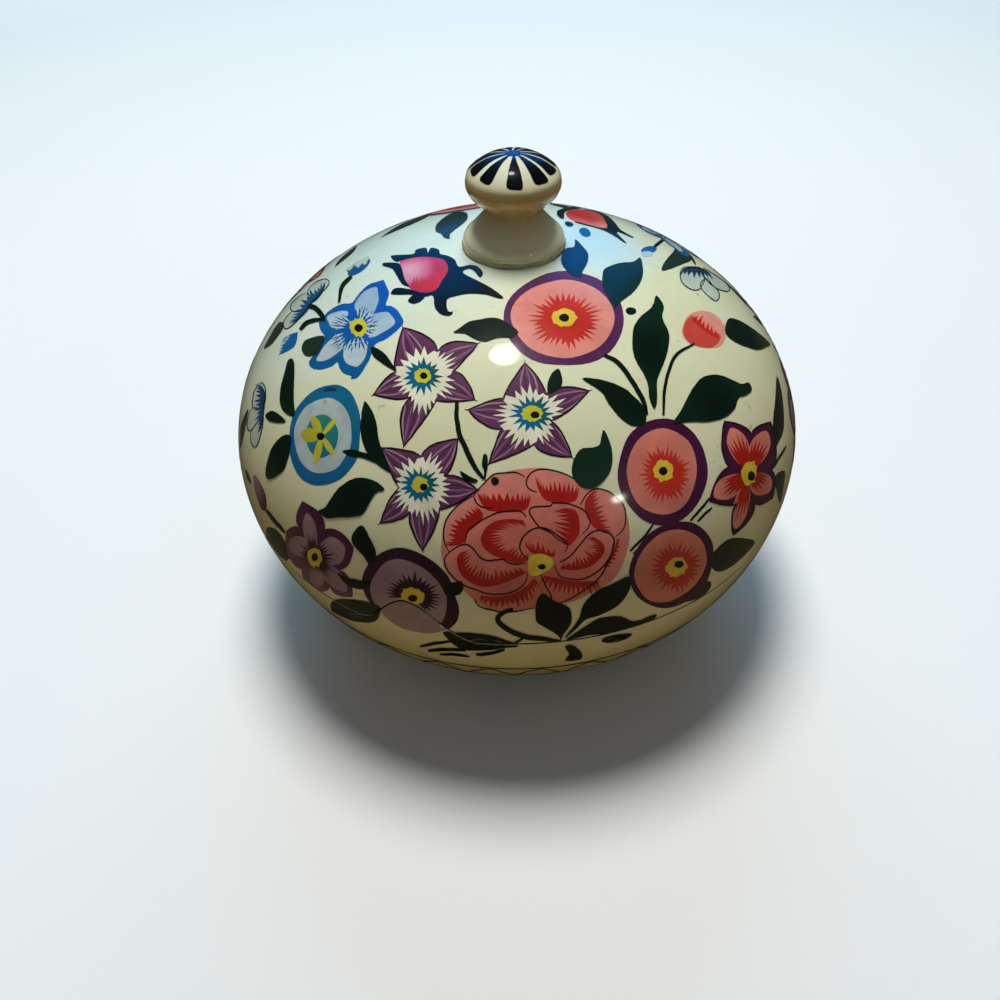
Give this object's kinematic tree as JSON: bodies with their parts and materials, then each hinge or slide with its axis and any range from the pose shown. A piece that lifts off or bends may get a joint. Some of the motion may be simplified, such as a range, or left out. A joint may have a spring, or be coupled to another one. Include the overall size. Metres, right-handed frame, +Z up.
{
  "type": "round lidded papier mache box",
  "caption": "Squat round box with a domed lift-off lid, a turned knob and hand-painted flowers on cream varnish, for keeping small things.",
  "frame": {"origin": "centre of the flat foot that the box rests on, on its round axis", "axes": "+Z up through the knob, -Y towards the side seen in the picture, +X to its right"},
  "size_m": [0.11, 0.11, 0.093],
  "materials": {
    "base_shell": "gloss",
    "base_lining": "satin",
    "locating_collar": "satin",
    "lid_shell": "gloss",
    "lid_lining": "satin",
    "knob": "gloss",
    "knob_bead": "gloss"
  },
  "bodies": {
    "base": {"base_shell": "base_shell", "base_lining": "base_lining", "locating_collar": "locating_collar"},
    "lid": {"lid_shell": "lid_shell", "lid_lining": "lid_lining", "knob": "knob", "knob_bead": "knob_bead"}
  },
  "joints": [
    {"name": "lid_lift", "type": "slide", "parent": "base", "child": "lid", "axis": [0, 0, 1], "range_m": [0, 0.06]}
  ]
}
